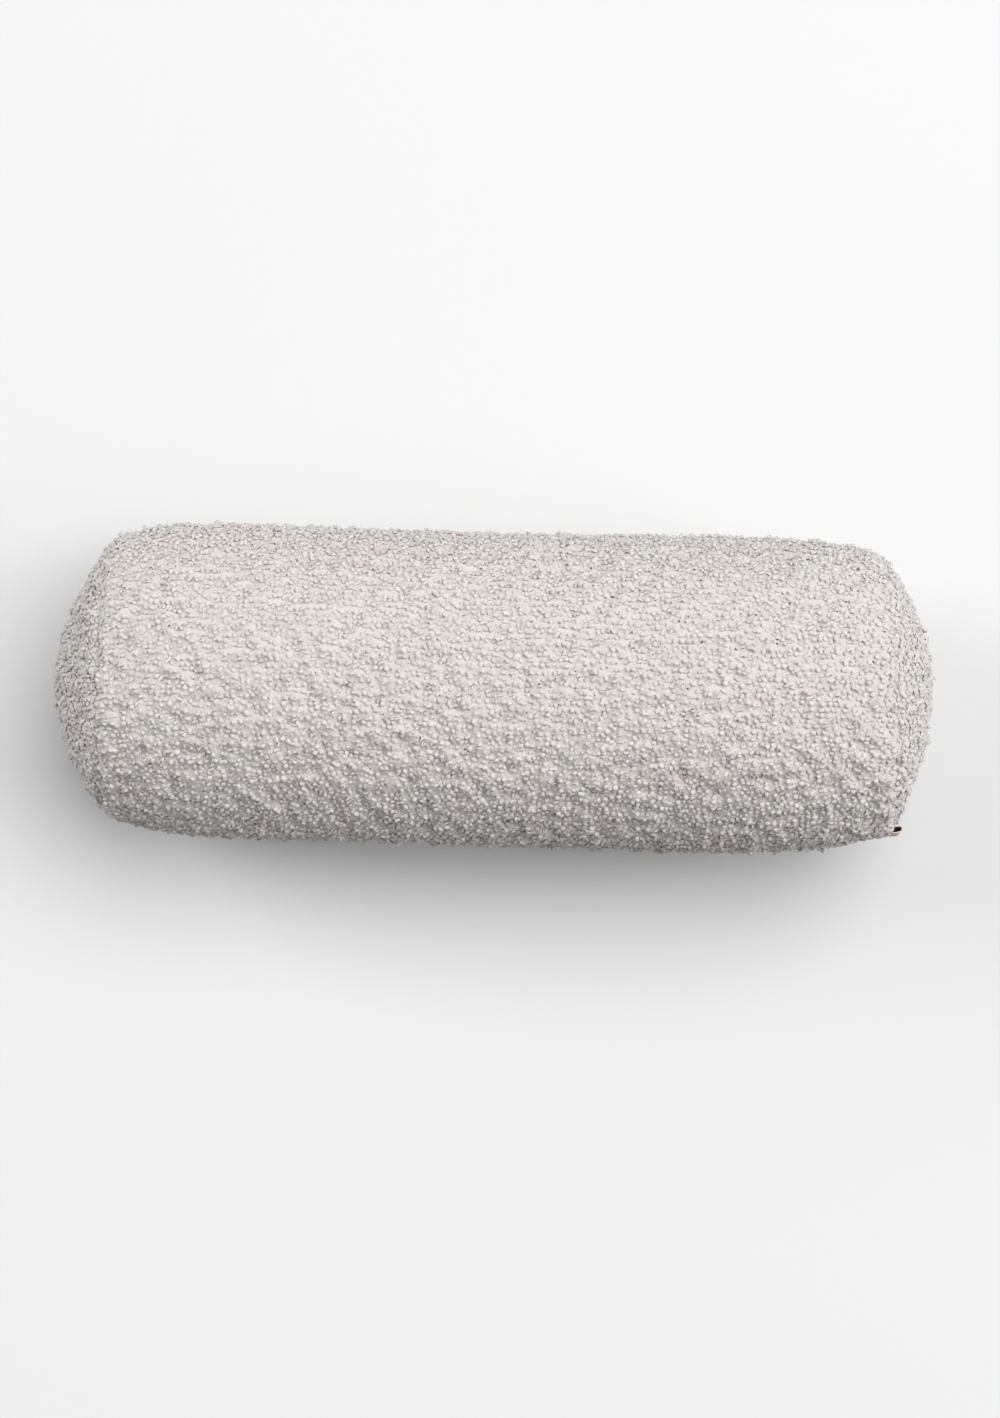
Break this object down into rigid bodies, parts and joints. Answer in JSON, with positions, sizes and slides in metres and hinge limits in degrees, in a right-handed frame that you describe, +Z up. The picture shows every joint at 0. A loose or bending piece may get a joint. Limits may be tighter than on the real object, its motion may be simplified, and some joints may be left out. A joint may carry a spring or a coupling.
{
  "type": "bolster cushion",
  "caption": "Round bolster cushion in pale nubby boucle, with a domed round panel sewn into each end and a small bare ribbon loop in one end seam.",
  "frame": {"origin": "middle of the flat underside, on the surface that the bolster rests on", "axes": "+X along the roll, towards the end with the ribbon loop; +Z up; the ribbon loop is on the -Y side"},
  "size_m": [0.6, 0.2209, 0.2073],
  "materials": {
    "boucle": "nubby looped pile, matte",
    "ribbon": "woven tape, matte"
  },
  "bodies": {
    "root": {"cushion": "boucle", "end_panel_left": "boucle", "end_panel_right": "boucle", "label_loop": "ribbon"}
  },
  "joints": []
}
